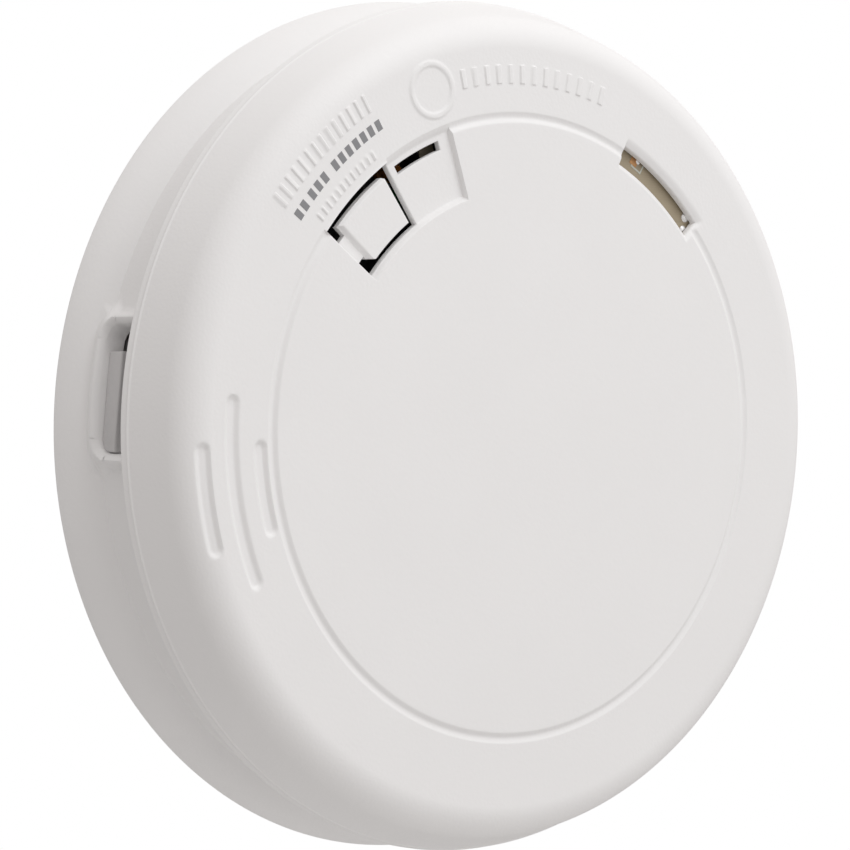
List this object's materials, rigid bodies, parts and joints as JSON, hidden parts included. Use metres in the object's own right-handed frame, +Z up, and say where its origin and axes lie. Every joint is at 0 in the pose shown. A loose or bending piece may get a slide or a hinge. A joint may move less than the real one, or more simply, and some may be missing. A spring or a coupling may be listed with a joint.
{
  "type": "smoke detector",
  "caption": "Round low-profile white smoke alarm on a twist-lock wall bracket, with test button, sound slot and side slider.",
  "frame": {"origin": "centre of the wall bracket's back face, on the wall plane", "axes": "+Y into the wall, so the face looks along -Y; +Z up; +X to the right as seen from the room"},
  "size_m": [0.142, 0.0325, 0.142],
  "materials": {
    "shell_plastic": "fine pebble grain",
    "slider_plastic": "satin",
    "lever_plastic": "satin",
    "label_film": "satin",
    "board_laminate": "satin solder mask",
    "black_moulding": "matte",
    "chip_resin": "matte",
    "plunger_plastic": "satin",
    "red_lens": "clear tinted",
    "green_lens": "clear tinted",
    "spacer_plastic": "satin",
    "emitter_lens": "clear tinted",
    "photodiode_lens": "dark tinted",
    "steel": "zinc plated",
    "nickel_strip": "bright",
    "brass_disc": "rolled",
    "contact_bronze": "rolled",
    "piezo_ceramic": "silvered",
    "horn_plastic": "matte",
    "battery_sleeve": "shrink film",
    "capacitor_sleeve": "shrink film",
    "ferrite": "matte"
  },
  "bodies": {
    "bracket": {"mounting_bracket": "shell_plastic"},
    "alarm": {"front_cover": "shell_plastic", "back_housing": "shell_plastic", "rating_label": "label_film", "circuit_board": "board_laminate", "sounder_board": "board_laminate", "chamber_base": "black_moulding", "chamber_cap": "black_moulding", "power_switch_body": "black_moulding", "tact_switch_body": "black_moulding", "sounder_header_1": "black_moulding", "sounder_header_2": "black_moulding", "microcontroller": "chip_resin", "horn_driver_chip": "chip_resin", "red_led": "red_lens", "green_led": "green_lens", "led_spacer": "spacer_plastic", "infrared_emitter": "emitter_lens", "photodiode": "photodiode_lens", "board_screw_1": "steel", "board_screw_2": "steel", "insect_screen": "steel", "battery_tab_positive": "nickel_strip", "battery_tab_negative": "nickel_strip", "piezo_disc": "brass_disc", "horn_contact_1": "contact_bronze", "horn_contact_2": "contact_bronze", "horn_contact_3": "contact_bronze", "piezo_ceramic": "piezo_ceramic", "horn_resonator": "horn_plastic", "battery_cell": "battery_sleeve", "electrolytic_capacitor": "capacitor_sleeve", "boost_inductor": "ferrite"},
    "test_button": {"test_button": "shell_plastic"},
    "switch_plunger": {"tact_switch_plunger": "plunger_plastic"},
    "power_slider": {"power_slider": "slider_plastic", "power_switch_lever": "lever_plastic"}
  },
  "joints": [
    {"name": "twist_lock", "type": "hinge", "parent": "bracket", "child": "alarm", "pos_m": [0, -0.003, 0], "axis": [0, -1, 0], "range_deg": [0, 15]},
    {"name": "button_press", "type": "hinge", "parent": "alarm", "child": "test_button", "pos_m": [-0.03474, -0.0305, 0.02685], "axis": [-0.7912, 0, 0.6115], "range_deg": [0, 2.5], "stiffness_Nm_per_rad": 0.1},
    {"name": "plunger_press", "type": "slide", "parent": "alarm", "child": "switch_plunger", "axis": [0, 1, 0], "range_m": [0, 0.00026]},
    {"name": "power_slide", "type": "slide", "parent": "alarm", "child": "power_slider", "axis": [0.1011, 0, 0.9949], "range_m": [0, 0.0035]}
  ],
  "couplings": [
    {"joint": "plunger_press", "follows": "button_press", "m_per_rad": 0.0057296}
  ]
}
